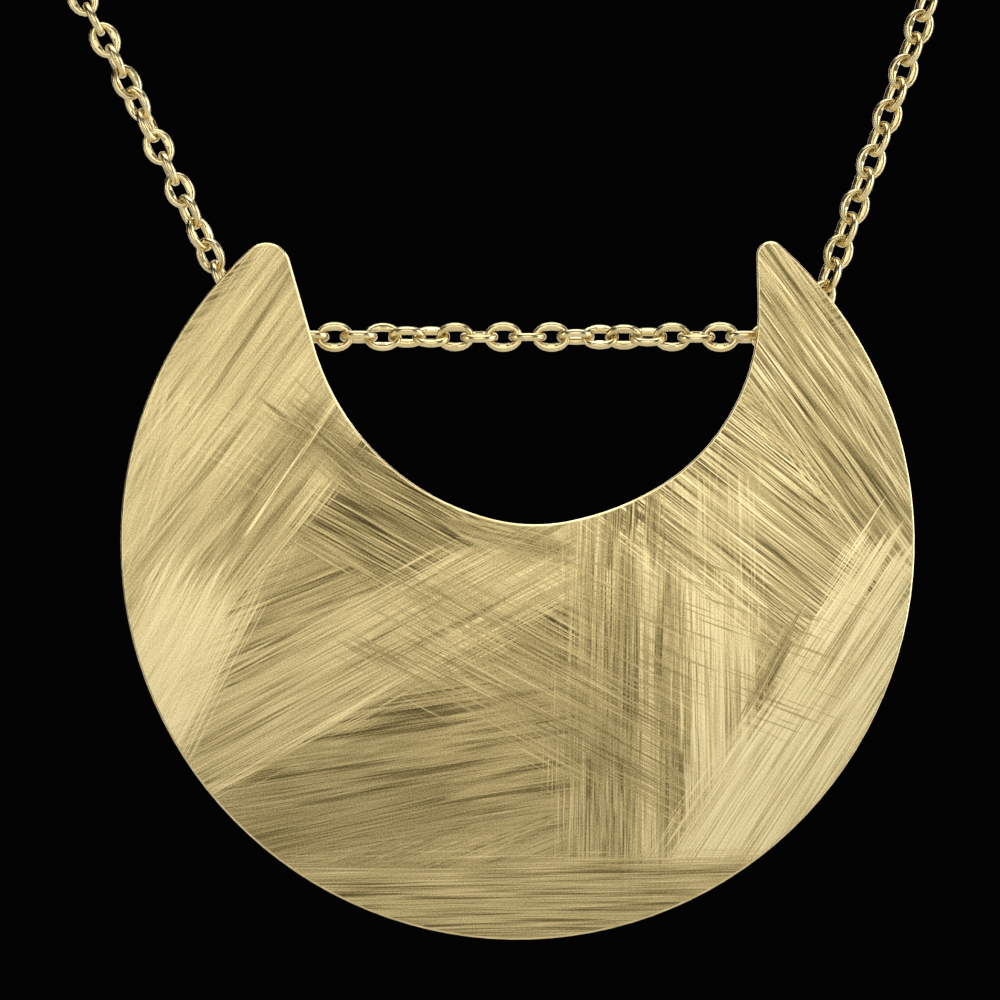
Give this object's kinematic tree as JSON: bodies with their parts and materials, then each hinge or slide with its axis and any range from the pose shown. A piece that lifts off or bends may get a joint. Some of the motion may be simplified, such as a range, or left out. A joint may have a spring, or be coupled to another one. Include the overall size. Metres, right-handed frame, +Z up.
{
  "type": "crescent pendant on a chain",
  "caption": "Flat crescent pendant, horns up, with rings behind its horns that hang it on a fine oval cable chain closed by a ring clasp at the nape.",
  "frame": {"origin": "middle of the nape, where the clasp lies and the chain hangs", "axes": "+Z up, -Y to the front, where the pendant hangs and the viewer stands, +X to the viewer's right"},
  "size_m": [0.1043, 0.1041, 0.1371],
  "materials": {
    "brushed_plate": "pale gold, hand-brushed in overlapping swaths of fine scratches",
    "chain_gold": "pale gold, filed and polished",
    "clasp_gold": "pale gold, polished"
  },
  "bodies": {
    "chain": {"front_chain": "chain_gold", "nape_chain": "chain_gold", "clasp": "clasp_gold", "end_ring": "clasp_gold"},
    "pendant": {"crescent_plate": "brushed_plate"}
  },
  "joints": [
    {"name": "pendant_swing", "type": "hinge", "parent": "chain", "child": "pendant", "pos_m": [0.0005, -0.1, -0.104], "axis": [1, 0, 0], "range_deg": [-10, 150]}
  ]
}
